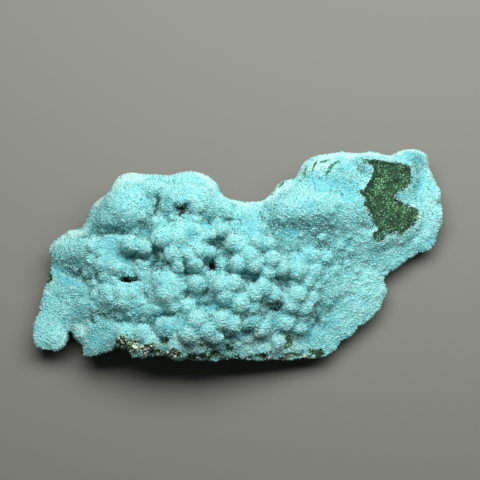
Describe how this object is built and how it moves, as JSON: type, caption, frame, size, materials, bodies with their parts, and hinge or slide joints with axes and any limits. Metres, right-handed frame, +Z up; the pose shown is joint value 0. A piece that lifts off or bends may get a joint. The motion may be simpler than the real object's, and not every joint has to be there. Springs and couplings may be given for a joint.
{
  "type": "mineral specimen",
  "caption": "Lumpy plate of blue-green chrysocolla dusted with sugary quartz, with a bare patch of dark green malachite, lying on its broken rock side.",
  "frame": {"origin": "centre of the specimen's footprint, on the plane that it rests on", "axes": "+X along the length towards the malachite end, +Z up out of the crust, +Y across towards the bay in the long side"},
  "size_m": [0.1034, 0.0554, 0.0216],
  "materials": {
    "chrysocolla_crust": "turquoise mineral crust of round knobs under fine clear quartz grains, matt with small glints"
  },
  "bodies": {
    "root": {"chrysocolla_malachite_specimen": "chrysocolla_crust"}
  },
  "joints": []
}
